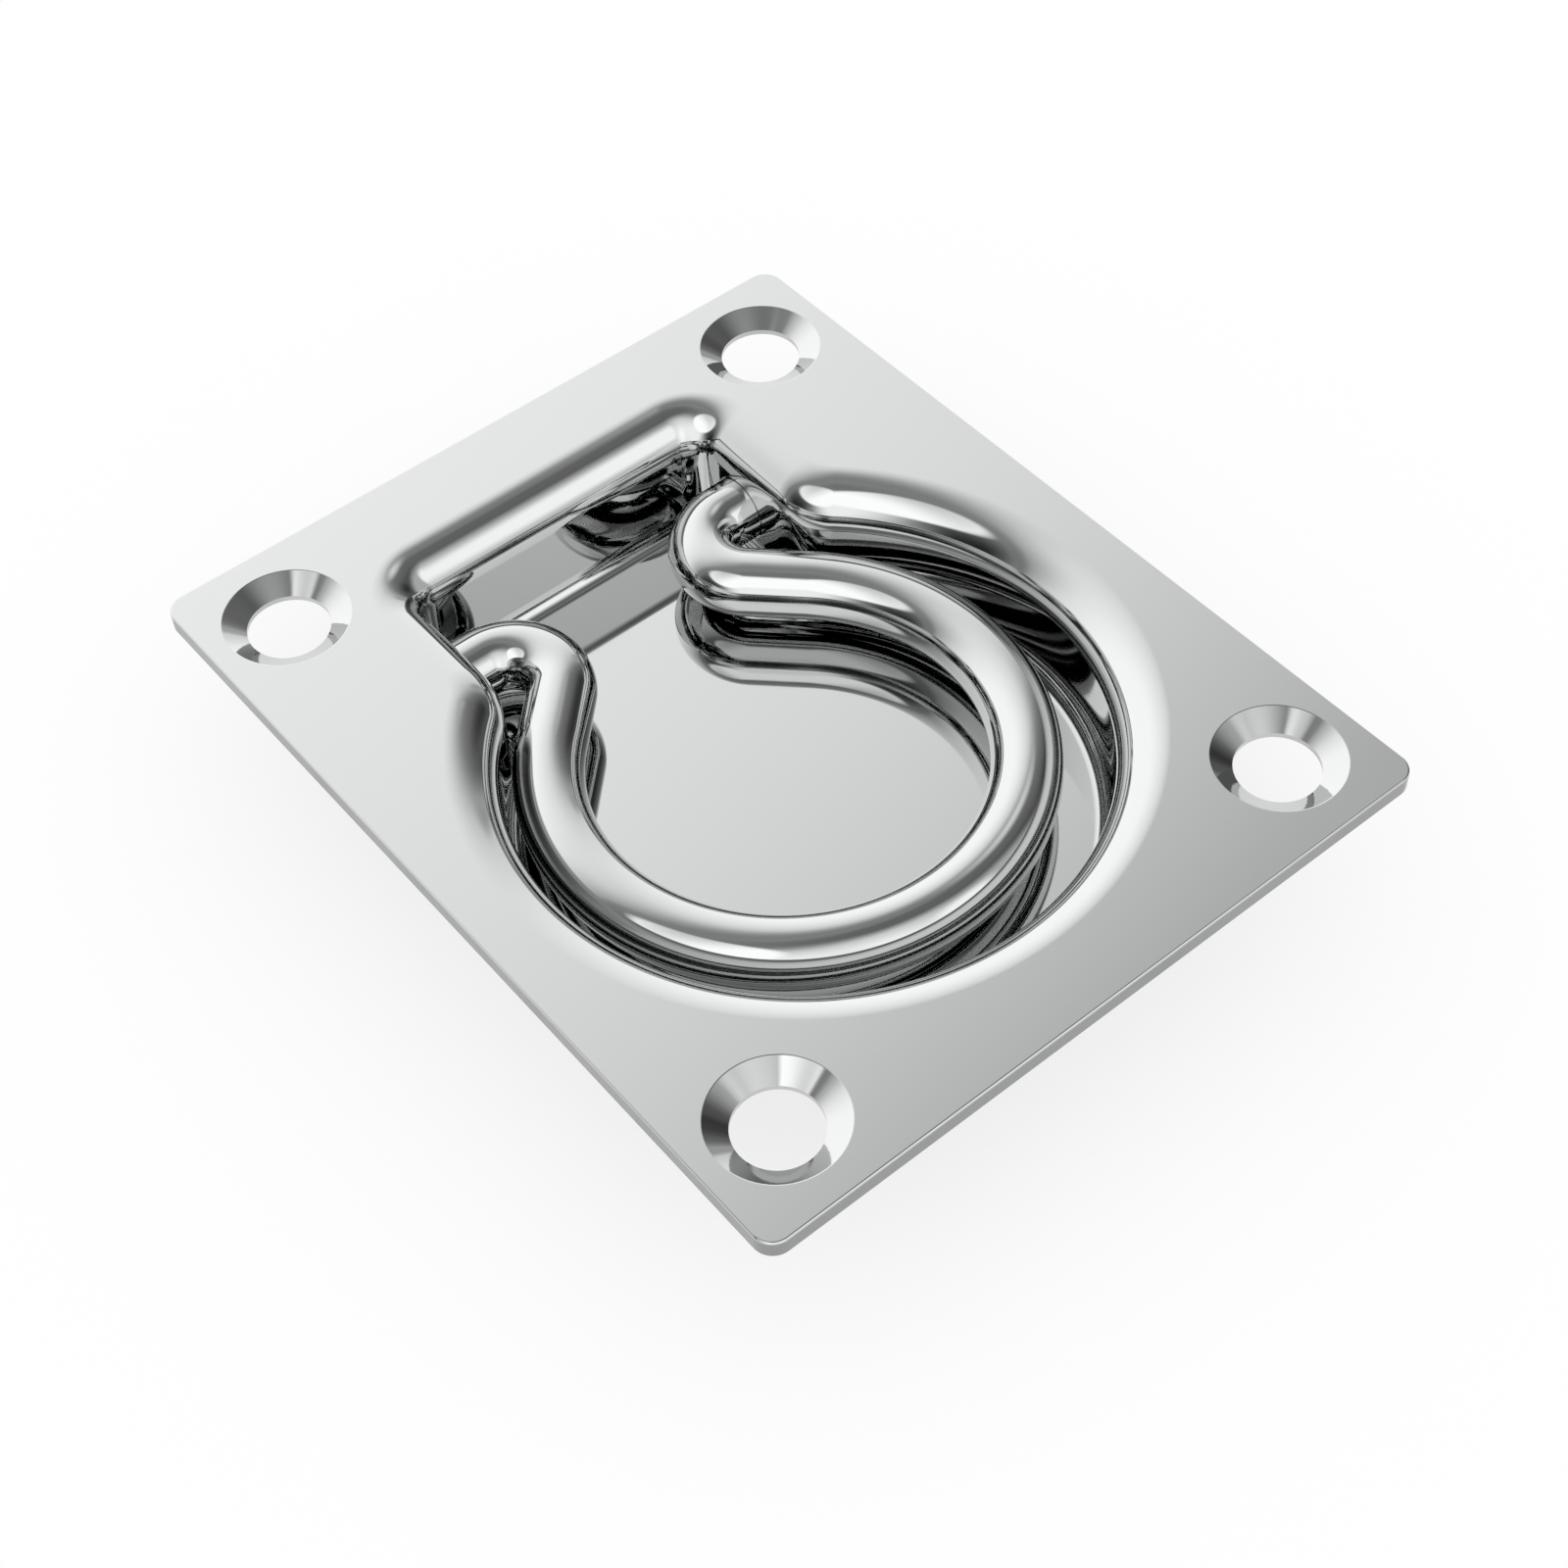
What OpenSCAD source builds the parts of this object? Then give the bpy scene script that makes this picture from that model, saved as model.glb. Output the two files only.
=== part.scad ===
// Recessed tie-down ring: a pressed sheet pan with a ring that folds down into it.
// The origin is the centre of the four screw holes, on the face of the flange that seats on the
// panel. X runs across the flange, Y along it towards the hinge, and Z up out of the panel.

/* [Flange] */
// Width of the flange, across the hinge line
flange_w = 74; // [72:0.5:90]
// Length of the flange
flange_l = 91; // [84:0.5:110]
// Radius of the flange's corners in plan
flange_corner_r = 2; // [1:0.1:6]
// Thickness of the sheet that the whole pan is pressed from
sheet_t = 2; // [1.2:0.1:2.4]

/* [Screw holes] */
// Distance of each hole's centre from the long edge of the flange
hole_margin_x = 8.25; // [7.5:0.05:8.6]
// Distance of each hole's centre from the short edge of the flange
hole_margin_y = 9; // [7.5:0.1:10]
// Diameter of the hole through the sheet
screw_hole_d = 8; // [5:0.1:9]
// Diameter of the countersink at the top face
countersink_d = 12.3; // [10:0.1:13]
// Depth of the countersink's cone
countersink_depth = 1.4; // [0.8:0.1:1.8]

/* [Pocket] */
// Depth of the floor below the top face of the flange
pocket_depth = 13.4; // [13:0.1:18]
// Inside width of the hinge bay
bay_w = 34.8; // [32:0.1:36]
// Distance of the bay's back wall from the flange's centre
bay_back = 32.6; // [31:0.1:34]
// Inside radius of the bay's two back corners in plan
bay_corner_r = 2.5; // [2.3:0.1:2.7]
// Radius of the rolled rim, on the top face
rim_roll_r = 4.6; // [3:0.1:5]
// Radius of the corner between wall and floor, on the inside
floor_corner_r = 1.5; // [0.8:0.1:1.8]

/* [Ring] */
// Diameter of the rod that the ring is bent from
rod_d = 6.8; // [5:0.1:7.2]
// Radius of the round eye, at the middle of the rod
eye_r = 22.3; // [21:0.1:24]
// Radius of the bend at the top of each leg, at the middle of the rod
leg_bend_r = 5; // [4.5:0.1:6]
// Straight length between the leg's bend and the bay's wall
leg_stub = 2.5; // [2:0.1:4]
// Length of the rod's end that stands out past the wall
end_past_wall = 1; // [0.8:0.1:3]
// Chamfer on the rod's ends
end_chamfer = 0.6; // [0.2:0.1:0.8]

/* [Fit] */
// Radial clearance of the rod in the holes of the bay's walls
hinge_clearance = 0.08; // [0.02:0.01:0.1]
// Distance of the hinge axis from the back wall
hinge_setback = 6.3; // [6:0.1:6.8]
// Gap under the ring when it lies level
floor_gap = 1.7; // [1:0.1:2.5]
// Gap between the eye and the bowl's wall at each side
side_gap = 2.5; // [2:0.1:3.5]
// Gap in front of the eye, for a fingertip
finger_gap = 5.5; // [4.5:0.1:7]

/* [Hidden] */
$fn = 48;
cut = 1;
rod_r = rod_d / 2;
rod_reach = bay_w / 2 + sheet_t + end_past_wall;
hinge_y = bay_back - hinge_setback;
hinge_z = sheet_t - pocket_depth + floor_gap + rod_r;
// The eye is three quarters of a circle: each leg leaves it at 45 degrees, runs straight, and
// bends out to the hinge axis
leg_link = micron(eye_r + leg_bend_r - sqrt(2) * (bay_w / 2 - leg_stub));
bend_x = (eye_r + leg_bend_r - leg_link) / sqrt(2);
eye_y = hinge_y - leg_bend_r - (eye_r + leg_bend_r + leg_link) / sqrt(2);
// Flat lips by which the swept wall runs into the flange and into the floor
flange_lip = 1;
floor_lip = (bay_corner_r - floor_corner_r) / 2;
// The bowl goes round the eye, and is three quarters of a circle too: a blend leaves it at
// 45 degrees at each side and runs into the bay's straight side. Round a small eye or beside a
// wide bay the bowl is larger than the side gap asks, so that the rim has room to roll round
// the blends.
least_blend_r = rim_roll_r + 1.2 * flange_lip;
bowl_r = max(eye_r + rod_r + side_gap,
             micron(bay_w / sqrt(2) + (sqrt(2) - 1) * least_blend_r));
bowl_y = eye_y - eye_r - rod_r - finger_gap + bowl_r;
blend_r = micron((bowl_r - bay_w / sqrt(2)) / (sqrt(2) - 1));
blend_x = (bowl_r + blend_r) / sqrt(2);
blend_y = bowl_y + blend_x;
side_l = micron(bay_back - bay_corner_r - blend_y);

function micron(v) = round(1000 * v) / 1000;

// Moves by whole hundredths first and then by the rest, which keeps the last digits of the rest
module at(p) {
    whole = [round(100 * p.x) / 100, round(100 * p.y) / 100];
    translate(whole) translate(p - whole) children();
}

module at_blend() {
    at([blend_x, blend_y]) children();
}

module at_side() {
    at_blend() translate([-blend_r, 0]) children();
}

module at_corner() {
    at_side() translate([-bay_corner_r, side_l]) children();
}

module quarter_disc(r) {
    intersection() {
        circle(r = r);
        square(r + cut);
    }
}

// A quarter turn of sheet about the origin, from +X round to +Y
module quarter_bend(inner_r) {
    difference() {
        quarter_disc(inner_r + sheet_t);
        circle(r = inner_r);
    }
}

// Section of the pressed sheet: x out from the wall's inside face, y up from the top face
module sheet_section() {
    wall_l = pocket_depth - rim_roll_r - floor_corner_r;
    translate([rim_roll_r, -sheet_t]) square([flange_lip, sheet_t]);
    translate([rim_roll_r, -rim_roll_r]) rotate([0, 0, 90]) quarter_bend(rim_roll_r - sheet_t);
    translate([0, -rim_roll_r - wall_l]) square([sheet_t, wall_l]);
    translate([-floor_corner_r, -rim_roll_r - wall_l]) rotate([0, 0, -90])
        quarter_bend(floor_corner_r);
    translate([-floor_corner_r - floor_lip, -pocket_depth - sheet_t]) square([floor_lip, sheet_t]);
}

// The sheet's section carried along each stretch of the pocket's plan
module bowl_wall() {
    at([0, bowl_y]) rotate_extrude(angle = 270, start = 135)
        translate([bowl_r, 0]) sheet_section();
}

module blend_wall() {
    at_blend() rotate_extrude(angle = 45, start = 180)
        translate([blend_r, 0]) mirror([1, 0]) sheet_section();
}

module side_wall() {
    at_side() translate([0, side_l]) rotate([90, 0, 0]) linear_extrude(side_l) sheet_section();
}

module corner_wall() {
    at_corner() rotate_extrude(angle = 90, start = 0)
        translate([bay_corner_r, 0]) sheet_section();
}

// Half of the back wall, which runs a little past the middle into its mirror image
module back_wall() {
    half_back = bay_w / 2 - bay_corner_r + cut;
    at_corner() translate([-half_back, bay_corner_r]) rotate([90, 0, 90])
        linear_extrude(half_back) sheet_section();
}

module both_sides() {
    for (side = [0, 1]) mirror([side, 0, 0]) children();
}

// The whole pressing, joined one stretch at a time so that each union is a simple one
module pressing() {
    union() {
        union() {
            union() {
                union() {
                    union() {
                        flange_sheet();
                        bowl_wall();
                    }
                    both_sides() blend_wall();
                }
                both_sides() side_wall();
            }
            both_sides() corner_wall();
        }
        both_sides() back_wall();
    }
    floor_sheet();
}

// Plan of the pocket, let out by grow, for an edge that ends inside the wall's flat lips.
// ease lets the arcs of the blends out a little more, so that no two arcs are tangent.
module pocket_plan(grow, ease) {
    half_w = bay_w / 2 + grow;
    back = bay_back - bay_corner_r;
    corner_r = bay_corner_r + grow;
    low = bowl_y + bowl_r / 2;
    translate([0, bowl_y]) circle(r = bowl_r + grow);
    translate([-half_w, low]) square([2 * half_w, back - low]);
    translate([corner_r - half_w, low]) square([2 * (half_w - corner_r), back + corner_r - low]);
    for (side = [0, 1]) mirror([side, 0]) {
        translate([half_w - corner_r, back]) quarter_disc(corner_r);
        difference() {
            polygon([[0, bowl_y], [blend_x, blend_y], [0, blend_y]]);
            translate([blend_x, blend_y]) circle(r = blend_r - grow - ease);
        }
    }
}

module flange_plan() {
    inner = [flange_w / 2 - flange_corner_r, flange_l / 2 - flange_corner_r];
    square([2 * inner.x, flange_l], center = true);
    square([flange_w, 2 * inner.y], center = true);
    for (turn = [0, 1], side = [0, 1]) mirror([0, turn]) mirror([side, 0])
        translate(inner) quarter_disc(flange_corner_r);
}

module flange_sheet() {
    translate([0, 0, -sheet_t]) linear_extrude(sheet_t) difference() {
        flange_plan();
        pocket_plan(rim_roll_r + flange_lip / 2, flange_lip / 5);
    }
}

module floor_sheet() {
    translate([0, 0, -pocket_depth - sheet_t])
        linear_extrude(sheet_t) pocket_plan(-floor_corner_r - floor_lip / 2, floor_lip / 5);
}

// Cutter for one countersunk hole, standing on the seating face
module countersunk_hole() {
    translate([0, 0, -cut]) cylinder(h = sheet_t + 2 * cut, d = screw_hole_d);
    translate([0, 0, sheet_t - countersink_depth])
        cylinder(h = countersink_depth, d1 = screw_hole_d, d2 = countersink_d);
    translate([0, 0, sheet_t]) cylinder(h = cut, d = countersink_d);
}

module pan() {
    hole_x = flange_w / 2 - hole_margin_x;
    hole_y = flange_l / 2 - hole_margin_y;
    color("silver") difference() {
        translate([0, 0, sheet_t]) pressing();
        for (sx = [-1, 1], sy = [-1, 1]) translate([sx * hole_x, sy * hole_y]) countersunk_hole();
        translate([0, hinge_y, hinge_z]) rotate([0, 90, 0])
            cylinder(h = 2 * rod_reach, r = rod_r + hinge_clearance, center = true);
    }
}

// The bent rod, lying level in the pocket
module ring() {
    color("gainsboro") translate([0, eye_y, hinge_z]) {
        rotate([0, 0, 135]) rotate_extrude(angle = 270, start = 0)
            translate([eye_r, 0]) circle(r = rod_r);
        both_sides() rotate([0, 0, 45]) translate([eye_r, 0]) leg();
    }
}

// One leg, from where it leaves the eye: the straight link, the bend and the end in the wall
module leg() {
    stub_l = rod_reach - bend_x - end_chamfer;
    rotate([-90, 0, 0]) cylinder(h = leg_link, r = rod_r);
    translate([leg_bend_r, leg_link]) {
        rotate([0, 0, 45]) rotate_extrude(angle = 135, start = 0)
            translate([leg_bend_r, 0]) circle(r = rod_r);
        rotate([0, 0, -45]) translate([0, leg_bend_r]) rotate([0, 90, 0]) {
            cylinder(h = stub_l, r = rod_r);
            translate([0, 0, stub_l])
                cylinder(h = end_chamfer, r1 = rod_r, r2 = rod_r - end_chamfer);
        }
    }
}

pan();
ring();
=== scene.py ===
"""Recessed tie-down ring: the polished pan and the ring bent from rod, on a plain studio floor."""
import math

import bpy
import numpy as np
from mathutils import Matrix, Vector
from mathutils.geometry import delaunay_2d_cdt


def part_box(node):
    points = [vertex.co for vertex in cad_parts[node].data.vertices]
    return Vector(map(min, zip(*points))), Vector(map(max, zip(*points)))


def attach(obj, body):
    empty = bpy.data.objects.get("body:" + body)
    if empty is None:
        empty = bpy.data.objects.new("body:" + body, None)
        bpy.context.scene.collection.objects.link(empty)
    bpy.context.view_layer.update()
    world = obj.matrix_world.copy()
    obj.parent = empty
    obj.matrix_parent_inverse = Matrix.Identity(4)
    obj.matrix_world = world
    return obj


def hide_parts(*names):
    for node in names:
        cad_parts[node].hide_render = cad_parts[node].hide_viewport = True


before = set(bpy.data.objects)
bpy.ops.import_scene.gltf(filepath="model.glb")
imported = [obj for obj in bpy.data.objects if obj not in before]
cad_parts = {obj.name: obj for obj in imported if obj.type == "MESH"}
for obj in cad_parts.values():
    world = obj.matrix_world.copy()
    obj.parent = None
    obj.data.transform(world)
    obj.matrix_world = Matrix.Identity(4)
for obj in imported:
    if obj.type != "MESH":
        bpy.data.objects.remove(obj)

bl_info = {
    "name": "Recessed tie-down ring",
    "version": (1, 0, 0),
    "blender": (4, 5, 0),
    "location": "3D View > Sidebar > Tie-down",
    "description": "Builds a polished pan fitting with a folding ring, and its studio stage",
    "category": "Add Mesh",
}

MM = 0.001
TURN = 2.0 * math.pi
ROOT_2 = math.sqrt(2.0)
PAN_LOW, PAN_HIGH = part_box("pan")


# ---- sizes and colours ----


def length(name, mm, description, low=0.0):
    """A length property, given in millimetres and kept in metres."""
    return bpy.props.FloatProperty(
        name=name, description=description, default=mm * MM, min=low * MM,
        subtype="DISTANCE", unit="LENGTH", precision=5,
    )


def colour(name, hex_value, description):
    """A colour property, given as an sRGB hex value and kept linear."""
    return bpy.props.FloatVectorProperty(
        name=name, description=description, default=linear(hex_value), size=4,
        min=0.0, max=1.0, subtype="COLOR",
    )


def number(name, value, description):
    """A plain number property between nought and one."""
    return bpy.props.FloatProperty(
        name=name, description=description, default=value, min=0.0, max=1.0, subtype="FACTOR",
    )


def linear(hex_value):
    """sRGB hex as linear RGBA: each channel c becomes ((c + 0.055) / 1.055) ** 2.4, or c / 12.92."""
    text = hex_value.lstrip("#")
    channels = [int(text[i:i + 2], 16) / 255.0 for i in (0, 2, 4)]
    return tuple(
        c / 12.92 if c <= 0.04045 else ((c + 0.055) / 1.055) ** 2.4 for c in channels
    ) + (1.0,)


class PanSizes(bpy.types.PropertyGroup):
    """Sizes of the pressed pan."""
    width: bpy.props.FloatProperty(
        name="Flange width", description="Across the hinge line",
        default=PAN_HIGH.x - PAN_LOW.x, subtype="DISTANCE", unit="LENGTH")
    length: bpy.props.FloatProperty(
        name="Flange length", description="Along the ring",
        default=PAN_HIGH.y - PAN_LOW.y, subtype="DISTANCE", unit="LENGTH")
    sheet: length("Sheet", 2.0, "Thickness of the sheet")
    corner_r: length("Flange corner", 2.0, "Radius of the flange's corners in plan")
    edge_r: length("Edge break", 0.22, "Radius that polishing leaves on the sheet's edges")
    hole_x: length("Hole spacing across", 57.5, "Screw holes, centre to centre across the flange")
    hole_y: length("Hole spacing along", 73.0, "Screw holes, centre to centre along the flange")
    hole_d: length("Screw hole", 8.0, "Diameter through the sheet")
    sink_d: length("Countersink", 12.3, "Diameter at the top face")
    sink_depth: length("Countersink depth", 1.4, "Depth of the cone")
    bay_w: length("Bay width", 34.8, "Inside width of the hinge bay, from which its blends follow")
    bay_back: length("Bay back", 32.6, "Back wall from the flange's centre")
    bay_corner_r: length("Bay corner", 2.5, "Inside radius of the bay's back corners in plan")
    bowl_r: length("Bowl radius", 28.2, "Inside radius of the round bowl")
    bowl_y: length("Bowl centre", -5.4083, "Bowl's centre from the flange's centre", low=-50.0)
    depth: length("Pocket depth", 13.4, "Floor below the flange's top face")
    roll_r: length("Rolled rim", 4.6, "Radius of the rolled rim on the top face")
    foot_r: length("Floor corner", 1.5, "Inside radius between wall and floor")


class RingSizes(bpy.types.PropertyGroup):
    """Sizes of the ring that is bent from rod."""
    rod_d: length("Rod", 6.8, "Diameter of the rod")
    eye_r: length("Eye radius", 22.3, "Round eye, at the middle of the rod")
    bend_r: length("Leg bend", 5.0, "Bend at the top of each leg, at the middle of the rod")
    link: length("Leg link", 6.228, "Straight between the eye and the leg's bend")
    axis_y: length("Hinge axis", 26.3, "Hinge axis from the flange's centre")
    axis_z: length("Hinge height", -6.3, "Hinge axis above the seating face", low=-50.0)
    clearance: length("Clearance", 0.08, "Radial clearance in the bay's walls")
    reach: length("Rod end", 20.4, "Rod's end from the middle")
    chamfer: length("Chamfer", 0.6, "Chamfer on the rod's ends")


class FinishColours(bpy.types.PropertyGroup):
    """Colours and gloss of the polished steel."""
    sheet: colour("Sheet", "#C8C9C9", "Polished sheet")
    rod: colour("Rod", "#C8C9C9", "Polished rod")
    # The cut edge's colour is darker than the sheet's: partly the duller blanked steel, partly painted
    # shade standing in for the dark surroundings below that the edge mirrors.
    edge: colour("Cut edge", "#949595", "Cut edge of the flange")
    sheet_rough: number("Sheet roughness", 0.04, "Haze left on the sheet by the polishing wheel")
    rod_rough: number("Rod roughness", 0.04, "Haze left on the rod by the polishing wheel")
    edge_rough: number("Cut edge roughness", 0.2, "Satin that blanking leaves on the flange's cut edge")
    floor: colour("Floor", "#FFFFFF", "Studio floor")
    shadow_lift: number("Shadow lift", 0.7, "Share of the shadow that the bright floor takes away")


# ---- surfaces ----


# Steps on a full round, on the stretches of the pocket's plan, on the bends of its section, on the
# flange's edge and on the rod. A mirror finish shows each facet, so they are fine.
ROUND_STEPS = 64
SIDE_STEPS, CORNER_STEPS, BACK_STEPS, BLEND_STEPS, BOWL_STEPS = 8, 40, 20, 32, 216
FOOT_STEPS, RIM_STEPS, FOOT_BACK_STEPS, RIM_BACK_STEPS = 16, 28, 12, 14
FLANGE_CORNER_STEPS, BREAK_STEPS, LOW_BREAK_STEPS = 16, 6, 4
ROD_STEPS, STRAIGHT_STEPS, BEND_STEPS, EYE_STEPS = 72, 8, 72, 108

# The middle of a chord of a full round, as a share of the round's radius.
CHORD = math.cos(math.pi / ROUND_STEPS)

# The wheel hardly reaches the flange's lower edge and the screw holes' feet: their edge breaks, as
# shares of the edge break on top. That of the hinge holes' mouths is in millimetres.
LOW_BREAK, FOOT_BREAK, HINGE_BREAK = 0.6, 0.5, 0.1

# Finishes of the pan's faces, in the order of its materials.
# The second finish, on the cut edge, is darker partly as painted shade, beside its duller blanked
# satin.
POLISHED, BLANKED_AND_SHADED = 0, 1


class Skin:
    """Patches of one closed surface, each with its own exact normals, welded where they meet."""

    def __init__(self):
        self.points, self.normals, self.faces, self.finish, self.count = [], [], [], [], 0

    def add(self, points, normals, faces, finish=POLISHED):
        """Takes in points in millimetres, their normals, and triangles over them with one finish."""
        self.points.append(points.reshape(-1, 3))
        self.normals.append(normals.reshape(-1, 3))
        self.faces.append(faces + self.count)
        self.finish.append(np.full(len(faces), finish, np.int32))
        self.count += len(self.points[-1])

    def grid(self, points, normals, finish=POLISHED):
        """A grid of points (m, n, 3): each cell is two triangles, which face the way its normals do."""
        m, n = points.shape[:2]
        i, j = np.meshgrid(np.arange(m - 1), np.arange(n - 1), indexing="ij")
        a = (i * n + j).ravel()
        b, c, d = a + 1, a + n + 1, a + n
        faces = np.concatenate([np.stack([a, d, c], 1), np.stack([a, c, b], 1)])
        flat, way = points.reshape(-1, 3), normals.reshape(-1, 3)
        p, q, r = (flat[faces[:, k]] for k in range(3))
        facing = np.einsum("ij,ij->", np.cross(q - p, r - p), way[faces].mean(axis=1))
        self.add(points, normals, faces if facing > 0 else faces[:, ::-1], finish)

    def flat(self, loops, inside, lift, normal):
        """The flat between closed loops (n, 2): triangles over their points, kept where inside(x, y)
        holds at the triangle's middle, and raised into place by lift(points)."""
        points = np.concatenate(loops)
        edges, start = [], 0
        for loop in loops:
            ring = np.arange(start, start + len(loop))
            edges += list(zip(ring.tolist(), np.roll(ring, -1).tolist()))
            start += len(loop)
        whole_hull, near = 0, 1e-7
        _, _, tris, source, _, _ = delaunay_2d_cdt(
            [Vector(p) for p in points.tolist()], edges, [], whole_hull, near)
        first = np.array([s[0] if s else 0 for s in source])
        tris = first[np.array(tris)]
        middle = points[tris].mean(axis=1)
        tris = tris[inside(middle[:, 0], middle[:, 1])]
        corner = lift(points)
        a, b, c = (corner[tris[:, k]] for k in range(3))
        back = np.einsum("ij,j->i", np.cross(b - a, c - a), normal) < 0
        tris[back] = tris[back][:, ::-1]
        self.add(corner, np.tile(normal, (len(corner), 1)), tris)

    def mesh(self, name, tight=2e-5):
        """The patches as one mesh. Points nearer than tight millimetres are one point, and each
        corner keeps its exact normal."""
        points, normals = np.concatenate(self.points), np.concatenate(self.normals)
        faces = np.concatenate(self.faces)
        key = np.round(points / tight).astype(np.int64)
        order = np.lexsort(key.T)
        step = np.any(np.abs(np.diff(key[order], axis=0)) > 1, axis=1)
        group = np.empty(len(key), np.int64)
        group[order] = np.concatenate([[0], np.cumsum(step)])
        keep = np.zeros(group.max() + 1, np.int64)
        keep[group[::-1]] = np.arange(len(key))[::-1]
        welded = group[faces]
        a, b, c = welded.T
        whole = (a != b) & (b != c) & (c != a)
        welded, corners = welded[whole], normals[faces[whole]].reshape(-1, 3)
        mesh = bpy.data.meshes.new(name)
        mesh.vertices.add(len(keep))
        mesh.vertices.foreach_set("co", (points[keep] * MM).astype(np.float32).ravel())
        mesh.loops.add(welded.size)
        mesh.loops.foreach_set("vertex_index", welded.ravel().astype(np.int32))
        mesh.polygons.add(len(welded))
        mesh.polygons.foreach_set("loop_start", np.arange(0, welded.size, 3, dtype=np.int32))
        mesh.polygons.foreach_set("use_smooth", np.ones(len(welded), bool))
        mesh.polygons.foreach_set("material_index", np.concatenate(self.finish)[whole])
        mesh.update(calc_edges=True)
        mesh.validate()
        mesh.normals_split_custom_set(corners / np.linalg.norm(corners, axis=1)[:, None])
        return mesh


def arc(centre, radius, start, end, steps):
    """Points centre + radius (cos t, sin t), t from start to end in degrees, and their directions."""
    t = np.radians(np.linspace(start, end, steps + 1))
    way = np.stack([np.cos(t), np.sin(t)], 1)
    return np.asarray(centre) + radius * way, way


def blends(s):
    """The arcs between bay and bowl, as (radius, centre's x, centre's y). They touch the bay's sides,
    and the bowl where it runs at 45 degrees, so with the bowl's radius b and half the bay's width
    h, their radius is (b - root 2 h) / (root 2 - 1)."""
    half = s.bay_w / MM / 2
    radius = (s.bowl_r / MM - ROOT_2 * half) / (ROOT_2 - 1.0)
    return radius, half + radius, s.bowl_y / MM + half + radius


def pocket_outline(s):
    """The wall's inside line in plan, anticlockwise from the bay's right foot, as a list of
    stretches (points, normals out of the pocket): side, corner, back, corner, side, blend, bowl,
    blend. Every stretch let out by g is points + g * normals."""
    half, back, corner = s.bay_w / MM / 2, s.bay_back / MM, s.bay_corner_r / MM
    bowl, bowl_y, shoulder = s.bowl_r / MM, s.bowl_y / MM, back - corner
    blend, blend_x, foot = blends(s)

    def straight(a, b, n, steps):
        t = np.linspace(0.0, 1.0, steps + 1)[:, None]
        return np.array(a) * (1 - t) + np.array(b) * t, np.tile(np.array(n, float), (steps + 1, 1))

    def turned(centre, radius, start, end, steps, inwards=False):
        points, way = arc(centre, radius, start, end, steps)
        return points, -way if inwards else way

    return [
        straight((half, foot), (half, shoulder), (1, 0), SIDE_STEPS),
        turned((half - corner, shoulder), corner, 0, 90, CORNER_STEPS),
        straight((half - corner, back), (corner - half, back), (0, 1), BACK_STEPS),
        turned((corner - half, shoulder), corner, 90, 180, CORNER_STEPS),
        straight((-half, shoulder), (-half, foot), (-1, 0), SIDE_STEPS),
        turned((-blend_x, foot), blend, 0, -45, BLEND_STEPS, True),
        turned((0.0, bowl_y), bowl, 135, 405, BOWL_STEPS),
        turned((blend_x, foot), blend, 225, 180, BLEND_STEPS, True),
    ]


def flange_outline(s):
    """The flange's edge in plan, anticlockwise: four straights and four corner arcs."""
    hx, hy, r = s.width / MM / 2, s.length / MM / 2, s.corner_r / MM
    points, normals = [], []
    for k, (sx, sy) in enumerate(((1, 1), (-1, 1), (-1, -1), (1, -1))):
        p, n = arc((sx * (hx - r), sy * (hy - r)), r, 90 * k, 90 * k + 90, FLANGE_CORNER_STEPS)
        points.append(p)
        normals.append(n)
    points, normals = np.concatenate(points), np.concatenate(normals)
    return np.vstack([points, points[:1]]), np.vstack([normals, normals[:1]])


def carried(plan, normals, section, section_normals):
    """A section (g, z) carried round a plan: P(u, v) = (plan(u) + g(v) n(u), z(v)), whose normal is
    (g'(v) n(u), z'(v)) of the section's own normals."""
    xy = plan[:, None, :] + section[None, :, :1] * normals[:, None, :]
    z = np.broadcast_to(section[None, :, 1:], xy.shape[:2] + (1,))
    n_xy = section_normals[None, :, :1] * normals[:, None, :]
    n_z = np.broadcast_to(section_normals[None, :, 1:], xy.shape[:2] + (1,))
    return np.concatenate([xy, z], 2), np.concatenate([n_xy, n_z], 2)


def spun(centre, across, along, section, section_normals, steps=ROUND_STEPS):
    """A section (r, h) spun about an axis: P(u, v) = centre + r(v) (cos u a + sin u b) + h(v) w."""
    w = np.array(along, float)
    a = np.array(across, float)
    b = np.cross(w, a)
    t = np.linspace(0.0, TURN, steps + 1)
    way = np.cos(t)[:, None] * a + np.sin(t)[:, None] * b
    way[-1] = way[0]
    points = centre + section[None, :, :1] * way[:, None] + section[None, :, 1:] * w
    normals = section_normals[None, :, :1] * way[:, None] + section_normals[None, :, 1:] * w
    return points, normals


def joined(*pieces):
    """Section pieces (points, normals) set end to end."""
    return np.concatenate([p for p, _ in pieces]), np.concatenate([n for _, n in pieces])


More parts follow.
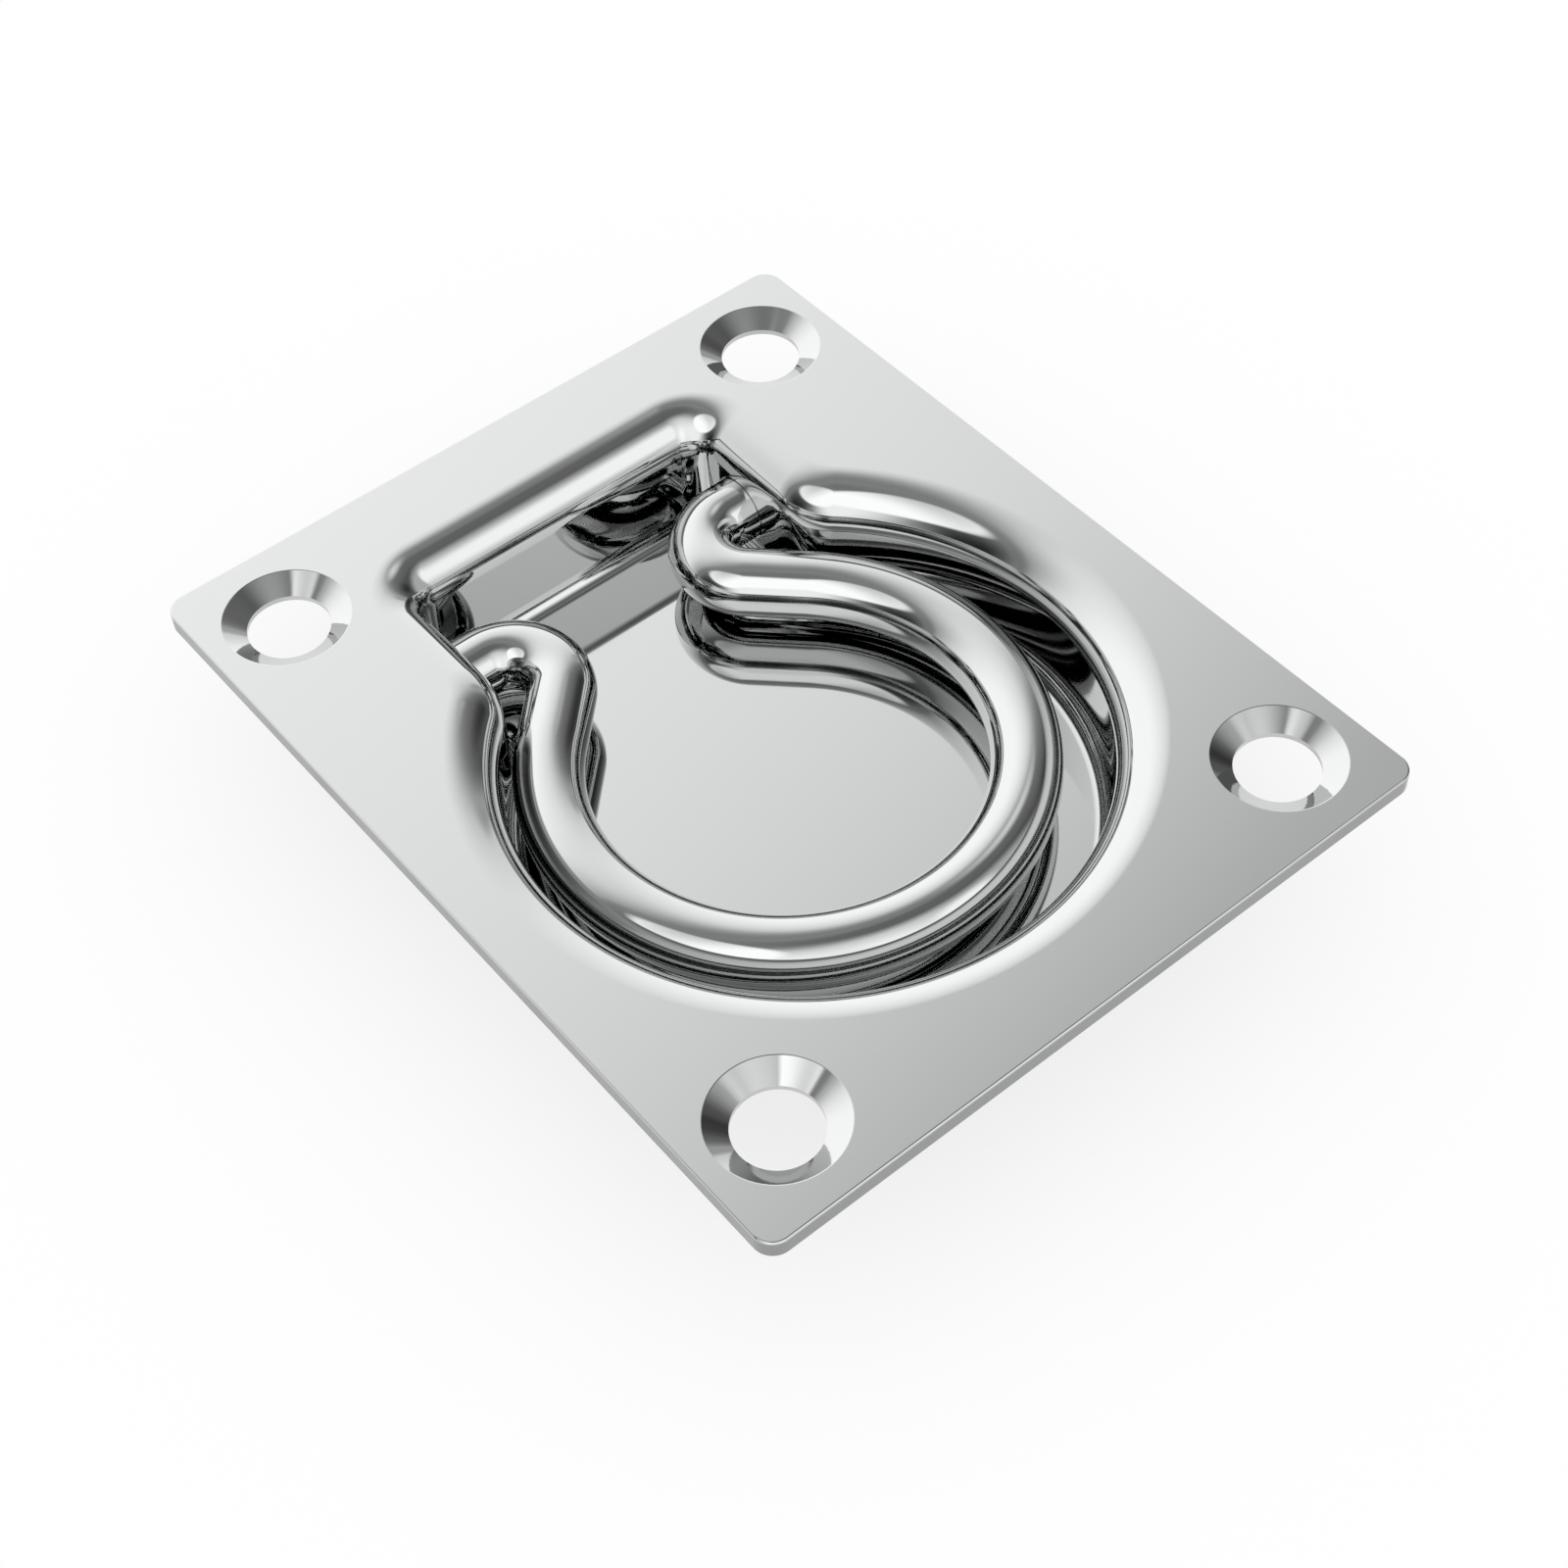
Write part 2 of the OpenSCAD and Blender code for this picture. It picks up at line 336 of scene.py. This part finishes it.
def build_pan(s, ring):
    """The pressing as one closed skin. The wall is its section carried round the pocket's plan, the
    edges and countersinks are small arcs, and flats fill what lies between."""
    skin = Skin()
    top = t = s.sheet / MM
    e, roll, foot_r, depth = s.edge_r / MM, s.roll_r / MM, s.foot_r / MM, s.depth / MM
    up, down = np.array([0.0, 0.0, 1.0]), np.array([0.0, 0.0, -1.0])
    floor_z = top - depth
    outline = pocket_outline(s)

    # Inside of the pocket: floor corner, wall and rolled rim; outside of it the same, a sheet away.
    # The walls of the bay's two sides have the hinge holes in them, and come after.
    corner_in = arc((-foot_r, floor_z + foot_r), foot_r, -90, 0, FOOT_STEPS)
    rim_in = arc((roll, top - roll), roll, 180, 90, RIM_STEPS)
    corner_out = arc((-foot_r, floor_z + foot_r), foot_r + t, 0, -90, FOOT_BACK_STEPS)
    rim_out = arc((roll, top - roll), roll - t, 90, 180, RIM_BACK_STEPS)
    wall_in = np.array([corner_in[0][-1], rim_in[0][0]]), np.array([[-1.0, 0.0]] * 2)
    wall_out = np.array([rim_out[0][-1], corner_out[0][0]]), np.array([[1.0, 0.0]] * 2)
    inner_parts = [(corner_in[0], -corner_in[1]), wall_in, rim_in]
    outer_parts = [(rim_out[0], -rim_out[1]), wall_out, corner_out]
    bay_sides, wall = (0, 4), 1
    for k, (plan, normals) in enumerate(outline):
        for parts in (inner_parts, outer_parts):
            for j, part in enumerate(parts):
                if k in bay_sides and j == wall:
                    continue
                skin.grid(*carried(plan, normals, *part))

    # The bay's two side walls, each flat with the hinge hole in it, and the hole's own wall.
    mouth_r = ring.rod_d / MM / 2 + ring.clearance / MM + HINGE_BREAK
    axis = ring.axis_y / MM, ring.axis_z / MM
    side_x, along_y = outline[0][0][0, 0], outline[0][0][:, 1]
    z0, z1 = wall_in[0][0, 1], wall_in[0][1, 1]
    frame_loop = np.concatenate([
        np.stack([along_y, np.full_like(along_y, z0)], 1),
        np.stack([along_y[::-1], np.full_like(along_y, z1)], 1),
    ])
    mouth_loop = arc(axis, mouth_r, 0, 360, ROUND_STEPS)[0][:-1]

    def in_wall(y, z):
        """On the wall's flat, and outside the hinge hole's mouth."""
        clear = np.hypot(y - axis[0], z - axis[1]) > mouth_r * CHORD
        return clear & (y > along_y[0]) & (y < along_y[-1]) & (z > z0) & (z < z1)

    for side in (1, -1):
        for x, face in ((side_x, -side), (side_x + t, side)):
            skin.flat([frame_loop, mouth_loop], in_wall,
                      lambda p, x=x: np.stack([np.full(len(p), side * x), p[:, 0], p[:, 1]], 1),
                      np.array([float(face), 0.0, 0.0]))
        bore = joined(
            arc((mouth_r, HINGE_BREAK), HINGE_BREAK, 270, 180, LOW_BREAK_STEPS),
            arc((mouth_r, t - HINGE_BREAK), HINGE_BREAK, 180, 90, LOW_BREAK_STEPS),
        )
        skin.grid(*spun(np.array([side * side_x, *axis]), (0, 1, 0), (side, 0, 0), *bore))

    # The flange's edge: the polished break along its top, and under it the cut edge as it was
    # blanked, down to the break along its foot. The cut edge gets a darker colour, partly painted
    # shade for the dark surroundings it mirrors.
    edge_plan, edge_normals = flange_outline(s)
    low_e = e * LOW_BREAK
    top_break = arc((-e, top - e), e, 90, 0, BREAK_STEPS)
    low_break = arc((-low_e, low_e), low_e, 0, -90, LOW_BREAK_STEPS)
    cut_edge = joined((top_break[0][-1:], top_break[1][-1:]), low_break)
    skin.grid(*carried(edge_plan, edge_normals, *top_break))
    skin.grid(*carried(edge_plan, edge_normals, *cut_edge), finish=BLANKED_AND_SHADED)

    # Countersunk screw holes: the mouth broken by the polishing, the cone, which ends on the straight
    # hole in a crisp edge, that hole, and its foot.
    hx, hy = s.hole_x / MM / 2, s.hole_y / MM / 2
    hole, sink, sink_depth = s.hole_d / MM / 2, s.sink_d / MM / 2, s.sink_depth / MM
    slope = math.degrees(math.atan2(sink_depth, sink - hole))
    tangent = e * math.tan(math.radians(slope / 2))
    foot_e = e * FOOT_BREAK
    mouth = arc((sink + tangent, -e), e, 90, 90 + slope, BREAK_STEPS)
    foot = arc((hole + foot_e, foot_e - t), foot_e, 180, 270, LOW_BREAK_STEPS)
    cone_n = np.array([-math.sin(math.radians(slope)), math.cos(math.radians(slope))])
    cone = np.array([mouth[0][-1], [hole, -sink_depth]]), np.array([cone_n, cone_n])
    shaft = np.array([[hole, -sink_depth], foot[0][0]]), np.array([[-1.0, 0.0]] * 2)
    centres = [np.array([sx * hx, sy * hy, top]) for sx in (1, -1) for sy in (1, -1)]
    for centre in centres:
        for part in (mouth, cone, shaft, foot):
            skin.grid(*spun(centre, (1, 0, 0), (0, 0, 1), *part))

    # Flats: the flange's two faces, and the floor's two faces.
    def loop_of(grow):
        """The pocket's plan let out by grow, as one loop."""
        return np.concatenate([p[:-1] + grow * n[:-1] for p, n in outline])

    def in_pocket(x, y, grow):
        """Inside the pocket's plan let out by grow."""
        blend, blend_x, foot_y = blends(s)
        bowl, bowl_y = s.bowl_r / MM, s.bowl_y / MM
        corner, back = s.bay_corner_r / MM, s.bay_back / MM
        tip_x, tip_y = side_x - corner, back - corner
        ax = np.abs(x)
        bay = (y >= foot_y) & (y < back + grow) & (ax < side_x + grow)
        tip = (ax > tip_x) & (y > tip_y)
        bay &= ~(tip & (np.hypot(ax - tip_x, y - tip_y) > corner + grow))
        neck = (y < foot_y) & (y - bowl_y > ax) & (ax < blend_x)
        neck &= np.hypot(ax - blend_x, y - foot_y) > blend - grow
        disc = (y - bowl_y <= ax) & (np.hypot(x, y - bowl_y) < bowl + grow)
        return bay | neck | disc

    def flange_face(height, edge, opening, normal):
        """One face of the flange, set in from its edge, round the pocket and the screw holes."""
        loops = [edge_plan[:-1] - edge * edge_normals[:-1], loop_of(roll)]
        loops += [arc(c[:2], opening, 0, 360, ROUND_STEPS)[0][:-1] for c in centres]

        def inside(x, y):
            solid = ~in_pocket(x, y, roll)
            for c in centres:
                solid &= np.hypot(x - c[0], y - c[1]) > opening * CHORD
            return solid

        skin.flat(loops, inside, lambda p: np.column_stack([p, np.full(len(p), height)]), normal)

    flange_face(top, e, sink + tangent, up)
    flange_face(0.0, low_e, hole + foot_e, down)
    for height, normal in ((floor_z, up), (floor_z - t, down)):
        skin.flat([loop_of(-foot_r)], lambda x, y: in_pocket(x, y, -foot_r),
                  lambda p, h=height: np.column_stack([p, np.full(len(p), h)]), normal)
    return skin


def rod_path(r):
    """The ring's middle line in plan, from the right end round to the left, as (points, ways): the
    stub, the leg's bend, the link, three quarters of a circle, and the same again."""
    eye, bend, link = r.eye_r / MM, r.bend_r / MM, r.link / MM
    axis_y, reach, chamfer = r.axis_y / MM, r.reach / MM, r.chamfer / MM
    bend_x = (eye + bend - link) / ROOT_2
    eye_y = axis_y - bend - (eye + bend + link) / ROOT_2
    right, out = [], []
    stub = np.linspace(reach - chamfer, bend_x, STRAIGHT_STEPS + 1)
    right.append(np.column_stack([stub, np.full(len(stub), axis_y)]))
    out.append(np.tile([0.0, 1.0], (len(stub), 1)))
    points, way = arc((bend_x, axis_y - bend), bend, 90, 225, BEND_STEPS)
    right.append(points[1:])
    out.append(way[1:])
    a = points[-1]
    b = np.array([eye / ROOT_2, eye_y + eye / ROOT_2])
    t = np.linspace(0, 1, STRAIGHT_STEPS + 1)[1:, None]
    right.append(a * (1 - t) + b * t)
    out.append(np.tile(-np.array([1.0, 1.0]) / ROOT_2, (STRAIGHT_STEPS, 1)))
    points, way = arc((0.0, eye_y), eye, 45, -90, EYE_STEPS)
    right.append(points[1:])
    out.append(-way[1:])
    right, out = np.concatenate(right), np.concatenate(out)
    left, left_out = right[-2::-1] * [-1, 1], out[-2::-1] * [-1, 1]
    return np.vstack([right, left]), np.vstack([out, left_out])


def build_ring(r):
    """The rod as one closed skin: P(u, v) = path(u) + rod_r (cos v n(u) + sin v z), with a chamfer
    and a flat at each end."""
    skin = Skin()
    rod, height = r.rod_d / MM / 2, r.axis_z / MM
    reach, chamfer, axis_y = r.reach / MM, r.chamfer / MM, r.axis_y / MM
    path, side = rod_path(r)
    v = np.linspace(0.0, TURN, ROD_STEPS + 1)
    cos_v, sin_v = np.cos(v)[None, :, None], np.sin(v)[None, :, None]
    cos_v[:, -1], sin_v[:, -1] = cos_v[:, 0], sin_v[:, 0]
    side3 = np.column_stack([side, np.zeros(len(side))])[:, None, :]
    normals = cos_v * side3 + sin_v * np.array([0.0, 0.0, 1.0])
    centre = np.column_stack([path, np.full(len(path), height)])[:, None, :]
    skin.grid(centre + rod * normals, normals)
    for end in (1, -1):
        middle = np.array([end * (reach - chamfer), axis_y, height])
        slope = np.array([1.0, 1.0]) / ROOT_2
        cone = np.array([[rod, 0.0], [rod - chamfer, chamfer]]), np.array([slope, slope])
        face = np.array([[rod - chamfer, chamfer], [0.0, chamfer]]), np.array([[0.0, 1.0]] * 2)
        for part in (cone, face):
            skin.grid(*spun(middle, (0, 1, 0), (end, 0, 0), *part, steps=ROD_STEPS))
    return skin


def place(skin, name, node, body, slot, *materials):
    """Puts a skin into the scene in place of a CAD node, riding on its body. The materials stand in
    the order of the skin's finishes."""
    mesh = skin.mesh(name)
    piece = bpy.data.objects.new(name, mesh)
    bpy.context.scene.collection.objects.link(piece)
    for material in materials:
        mesh.materials.append(material)
    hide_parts(node)
    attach(piece, body)
    return piece


# ---- materials ----


def add_node(tree, kind, links=None, **settings):
    """Adds a node of that kind, sets its attributes and sockets, and links the sockets named."""
    node = tree.nodes.new(kind)
    for key, value in settings.items():
        if key in node.inputs:
            node.inputs[key].default_value = value
        else:
            setattr(node, key, value)
    for socket, source in (links or {}).items():
        tree.links.new(source, node.inputs[socket])
    return node


def fresh(name):
    """A new material with an empty node tree."""
    material = bpy.data.materials.new(name)
    material.use_nodes = True
    material.node_tree.nodes.clear()
    return material, material.node_tree


# How far a hairline runs along X, Y and Z, in millimetres. The wheel leaves them 0.15 mm apart,
# along X on the sheet and upright on the rod. Shearing leaves upright ones, 0.3 mm apart, on the
# cut edge.
SHEET_GRAIN, ROD_GRAIN, EDGE_GRAIN = (8.0, 0.15, 0.15), (0.15, 0.15, 6.0), (0.3, 0.3, 8.0)
HAIR_DEPTH, HAIR_STRENGTH = 0.0006, 0.12

# The haze comes in patches this many millimetres across. Where its noise runs from low to high, the
# roughness runs between these shares of the finish's own.
HAZE_PATCH, HAZE_LOW, HAZE_HIGH = 12.0, 0.3, 0.7
CLEAREST, HAZIEST = 0.6, 1.5


def steel(name, base, rough, grain):
    """Stainless steel with a faint haze in cloudy patches, and hairlines along one way.

    Pressed or drawn smooth and then buffed to a mirror on a cloth wheel, it gives crisp reflections,
    and the hairlines only just soften a highlight. The blanked edge is left as the die cut it: a
    rougher and duller satin, so it mirrors in broad soft tones. Its darker colour than the faces' is
    partly painted shade, standing in for the dark surroundings below that the edge mirrors."""
    material, tree = fresh(name)
    place_on = add_node(tree, "ShaderNodeTexCoord").outputs["Object"]
    haze = add_node(tree, "ShaderNodeTexNoise", {"Vector": place_on},
                    Scale=1.0 / (HAZE_PATCH * MM), Detail=3.0, Roughness=0.6)
    gloss = add_node(tree, "ShaderNodeMapRange", {"Value": haze.outputs["Fac"]})
    gloss.inputs["From Min"].default_value = HAZE_LOW
    gloss.inputs["From Max"].default_value = HAZE_HIGH
    gloss.inputs["To Min"].default_value = rough * CLEAREST
    gloss.inputs["To Max"].default_value = rough * HAZIEST
    along = add_node(tree, "ShaderNodeMapping", {"Vector": place_on}, vector_type="POINT")
    along.inputs["Scale"].default_value = tuple(1.0 / (g * MM) for g in grain)
    hairs = add_node(tree, "ShaderNodeTexNoise", {"Vector": along.outputs["Vector"]},
                     Scale=1.0, Detail=2.0, Roughness=0.55)
    relief = add_node(tree, "ShaderNodeBump", {"Height": hairs.outputs["Fac"]},
                      Strength=HAIR_STRENGTH, Distance=HAIR_DEPTH * MM)
    shader = add_node(tree, "ShaderNodeBsdfPrincipled",
                      {"Roughness": gloss.outputs["Result"], "Normal": relief.outputs["Normal"]},
                      Metallic=1.0)
    shader.inputs["Base Color"].default_value = base
    add_node(tree, "ShaderNodeOutputMaterial", {"Surface": shader.outputs[0]})
    return material


# ---- stage ----


# The camera's angles in degrees, the point it looks at and its distance from it in millimetres, its
# focal length as pixels of the square frame, and its clip distances in metres.
CAMERA_TURN, CAMERA_RISE, CAMERA_ROLL = -37.020, 50.590, -3.100
CAMERA_TARGET, CAMERA_DISTANCE = (-6.31, -10.04, 2.0), 234.0
FOCAL_PIXELS, FRAME_PIXELS, SENSOR_WIDTH = 2697.3, 1600.0, 36.0
CLIP_NEAR, CLIP_FAR = 0.005, 20.0


def set_camera():
    """The camera looks along the photograph's own line of sight, fitted on the flange and its holes."""
    turn, rise, roll = (math.radians(a) for a in (CAMERA_TURN, CAMERA_RISE, CAMERA_ROLL))
    back = Vector((math.sin(turn) * math.cos(rise), -math.cos(turn) * math.cos(rise), math.sin(rise)))
    right = (-back).cross(Vector((0, 0, 1))).normalized()
    up = right.cross(-back)
    right, up = (math.cos(roll) * right + math.sin(roll) * up,
                 -math.sin(roll) * right + math.cos(roll) * up)
    data = bpy.data.cameras.new("camera")
    data.sensor_width = SENSOR_WIDTH
    data.lens = FOCAL_PIXELS / FRAME_PIXELS * SENSOR_WIDTH
    data.clip_start, data.clip_end = CLIP_NEAR, CLIP_FAR
    camera = bpy.data.objects.new("camera", data)
    camera.matrix_world = Matrix.Translation((Vector(CAMERA_TARGET) + back * CAMERA_DISTANCE) * MM) @ \
        Matrix((right, up, back)).transposed().to_4x4()
    bpy.context.scene.collection.objects.link(camera)
    bpy.context.scene.camera = camera


# The studio as the steel mirrors it: soft panels and dark gaps on a dome, laid over each other in
# this order. A place on the dome is given in degrees away from straight up, as (across, along),
# towards +X and +Y. Each has its middle, its half sizes, its turn, its softness and its brightness.
# STUDIO_DIM is what lies between them.
STUDIO_DIM = 0.357
STUDIO = (
    ("front glow", (-5.0, -69.4), (25.9, 32.2), 0.0, 1.11, 0.926),
    ("dark right side", (51.0, -0.2), (86.0, 26.0), 0.0, 0.40, 0.07),
    ("broad back panel", (10.0, 82.2), (103.1, 53.1), 0.0, 0.58, 0.871),
    ("dark left corner", (-89.0, 6.6), (54.4, 25.5), 0.0, 0.81, 0.013),
    ("near left panel", (-47.0, -54.7), (32.1, 32.0), 0.0, 0.50, 0.8),
    ("left panel", (-44.0, -11.9), (22.6, 26.0), 0.0, 0.13, 0.94),
    ("panel's end", (33.0, 11.2), (6.7, 6.4), 0.0, 0.90, 0.74),
    ("right doorway", (69.0, -2.7), (11.0, 9.3), 0.0, 0.68, 0.016),
    ("dim ceiling", (0.0, 3.4), (34.8, 8.8), 0.0, 1.78, 0.216),
    ("ceiling beam", (22.0, -7.8), (23.1, 8.8), 0.0, 0.64, 0.11),
    ("front strip", (29.0, -54.3), (13.0, 17.5), 0.0, 0.45, 0.84),
    ("left gap", (-75.0, 29.8), (45.0, 3.0), -16.8, 1.23, 0.155),
    ("right gap", (75.0, 26.2), (13.2, 4.0), 0.0, 0.75, 0.275),
)
# The brightnesses above are as the steel shows them, so the world has them divided by the share of
# light that steel mirrors. Matt things are lit evenly at the plain level, where 1 is white.
MIRROR_SHARE, PLAIN_LEVEL = 0.56, 1.0


def studio_world():
    """The camera sees plain white, matt things are lit evenly at a plain level, and metal mirrors
    the studio. With direction (x, y, z), a place on the dome is acos(z) (x, y) / |(x, y)|, and each
    panel counts fully within its ellipse and fades out smoothly across its softness."""
    world = bpy.data.worlds.new("studio")
    world.use_nodes = True
    tree = world.node_tree
    tree.nodes.clear()
    way = add_node(tree, "ShaderNodeTexCoord").outputs["Generated"]
    height = add_node(tree, "ShaderNodeSeparateXYZ", {"Vector": way})
    tilt = add_node(tree, "ShaderNodeMath", {0: height.outputs["Z"]}, operation="ARCCOSINE")
    degrees = add_node(tree, "ShaderNodeMath", {0: tilt.outputs[0]}, operation="MULTIPLY")
    degrees.inputs[1].default_value = 180.0 / math.pi
    level = add_node(tree, "ShaderNodeVectorMath", {0: way}, operation="MULTIPLY")
    level.inputs[1].default_value = (1.0, 1.0, 0.0)
    compass = add_node(tree, "ShaderNodeVectorMath", {0: level.outputs[0]}, operation="NORMALIZE")
    dome = add_node(tree, "ShaderNodeVectorMath", {0: compass.outputs[0], "Scale": degrees.outputs[0]},
                    operation="SCALE")
    bright = add_node(tree, "ShaderNodeValue")
    bright.outputs[0].default_value = STUDIO_DIM
    for name, middle, half, turn, soft, strength in STUDIO:
        spot = add_node(tree, "ShaderNodeMapping", {"Vector": dome.outputs[0]}, vector_type="TEXTURE",
                        label=name)
        spot.inputs["Location"].default_value = middle + (0.0,)
        spot.inputs["Rotation"].default_value = (0.0, 0.0, math.radians(turn))
        spot.inputs["Scale"].default_value = half + (1.0,)
        far = add_node(tree, "ShaderNodeVectorMath", {0: spot.outputs[0]}, operation="LENGTH")
        cover = add_node(tree, "ShaderNodeMapRange", {"Value": far.outputs["Value"]},
                         interpolation_type="SMOOTHSTEP")
        cover.inputs["From Min"].default_value = 1.0 + soft
        cover.inputs["From Max"].default_value = 1.0 - soft
        bright = add_node(tree, "ShaderNodeMix", {0: cover.outputs["Result"], 2: bright.outputs[0]})
        bright.inputs[3].default_value = strength
    path = add_node(tree, "ShaderNodeLightPath")
    mirrored = add_node(tree, "ShaderNodeMath", {0: bright.outputs[0]}, operation="MULTIPLY")
    mirrored.inputs[1].default_value = 1.0 / MIRROR_SHARE
    seen = add_node(tree, "ShaderNodeMix", {0: path.outputs["Is Glossy Ray"], 3: mirrored.outputs[0]})
    seen.inputs[2].default_value = PLAIN_LEVEL
    sky = add_node(tree, "ShaderNodeBackground", {"Strength": seen.outputs[0]})
    sky.inputs["Color"].default_value = linear("#FFFFFF")
    add_node(tree, "ShaderNodeOutputWorld", {"Surface": sky.outputs[0]})
    bpy.context.scene.world = world


# Half the floor's side in metres, and how far it lies under the base in millimetres, so that no two
# faces share a place.
FLOOR_HALF, FLOOR_GAP = 3.0, 0.02


def floor_paper(white, shadow_lift):
    """Seamless white paper, rolled smooth and matt, which shows only the soft shadow of what stands
    on it. Seen by the camera or in a mirror, it is partly bright of itself, which takes a share of
    that shadow away."""
    material, tree = fresh("matt white floor")
    paper = add_node(tree, "ShaderNodeBsdfDiffuse")
    paper.inputs["Color"].default_value = white
    lit = add_node(tree, "ShaderNodeEmission", Strength=1.0)
    lit.inputs["Color"].default_value = white
    path = add_node(tree, "ShaderNodeLightPath").outputs
    mirrored = add_node(tree, "ShaderNodeMath",
                        {0: path["Is Glossy Ray"], 1: path["Is Transmission Ray"]}, operation="MAXIMUM")
    seen = add_node(tree, "ShaderNodeMath", {0: path["Is Camera Ray"], 1: mirrored.outputs[0]},
                    operation="MAXIMUM")
    lift = add_node(tree, "ShaderNodeMath", {0: seen.outputs[0]}, operation="MULTIPLY")
    lift.inputs[1].default_value = shadow_lift
    both = add_node(tree, "ShaderNodeMixShader",
                    {0: lift.outputs[0], 1: paper.outputs[0], 2: lit.outputs[0]})
    add_node(tree, "ShaderNodeOutputMaterial", {"Surface": both.outputs[0]})
    return material


class TIEDOWN_OT_pan(bpy.types.Operator):
    """Build the pressed pan"""
    bl_idname = "tiedown.pan"
    bl_label = "Pressed pan"

    def execute(self, context):
        scene = context.scene
        finish = scene.tiedown_finish
        faces = steel("polished stainless sheet", finish.sheet, finish.sheet_rough, SHEET_GRAIN)
        # The cut edge's material is darker than the faces' partly as painted shade, for the dark
        # surroundings it mirrors.
        cut = steel("blanked stainless edge with painted shade", finish.edge, finish.edge_rough, EDGE_GRAIN)
        place(build_pan(scene.tiedown_pan, scene.tiedown_ring), "pressed_pan", "pan", "pan",
              "polished_sheet", faces, cut)
        return {"FINISHED"}


class TIEDOWN_OT_ring(bpy.types.Operator):
    """Build the ring that is bent from rod"""
    bl_idname = "tiedown.ring"
    bl_label = "Bent ring"

    def execute(self, context):
        scene = context.scene
        finish = scene.tiedown_finish
        material = steel("polished stainless rod", finish.rod, finish.rod_rough, ROD_GRAIN)
        place(build_ring(scene.tiedown_ring), "bent_ring", "ring", "ring", "polished_rod", material)
        return {"FINISHED"}


class TIEDOWN_OT_stage(bpy.types.Operator):
    """Set the floor, the studio light and the camera"""
    bl_idname = "tiedown.stage"
    bl_label = "Studio stage"

    def execute(self, context):
        scene = context.scene
        finish = scene.tiedown_finish
        mesh = bpy.data.meshes.new("studio floor")
        r, z = FLOOR_HALF, PAN_LOW.z - FLOOR_GAP * MM
        mesh.from_pydata([(-r, -r, z), (r, -r, z), (r, r, z), (-r, r, z)], [], [(0, 1, 2, 3)])
        floor = bpy.data.objects.new("studio_floor", mesh)
        scene.collection.objects.link(floor)
        mesh.materials.append(floor_paper(finish.floor, finish.shadow_lift))
        studio_world()
        set_camera()
        scene.view_settings.view_transform = "Standard"
        return {"FINISHED"}


class TIEDOWN_PT_panel(bpy.types.Panel):
    """Sizes, colours and build steps of the tie-down ring"""
    bl_idname = "TIEDOWN_PT_panel"
    bl_label = "Recessed tie-down ring"
    bl_space_type = "VIEW_3D"
    bl_region_type = "UI"
    bl_category = "Tie-down"

    def draw(self, context):
        scene = context.scene
        for group in (scene.tiedown_pan, scene.tiedown_ring, scene.tiedown_finish):
            box = self.layout.box()
            for key in group.__annotations__:
                box.prop(group, key)
        for step in STEPS:
            self.layout.operator(step.bl_idname)


GROUPS = (PanSizes, RingSizes, FinishColours)
STEPS = (TIEDOWN_OT_pan, TIEDOWN_OT_ring, TIEDOWN_OT_stage)


def register():
    for cls in GROUPS + STEPS + (TIEDOWN_PT_panel,):
        bpy.utils.register_class(cls)
    bpy.types.Scene.tiedown_pan = bpy.props.PointerProperty(type=PanSizes)
    bpy.types.Scene.tiedown_ring = bpy.props.PointerProperty(type=RingSizes)
    bpy.types.Scene.tiedown_finish = bpy.props.PointerProperty(type=FinishColours)


def unregister():
    del bpy.types.Scene.tiedown_finish
    del bpy.types.Scene.tiedown_ring
    del bpy.types.Scene.tiedown_pan
    for cls in reversed(GROUPS + STEPS + (TIEDOWN_PT_panel,)):
        bpy.utils.unregister_class(cls)


def main():
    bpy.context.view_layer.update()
    register()
    bpy.ops.tiedown.pan()
    bpy.ops.tiedown.ring()
    bpy.ops.tiedown.stage()


if __name__ == "__main__":
    main()
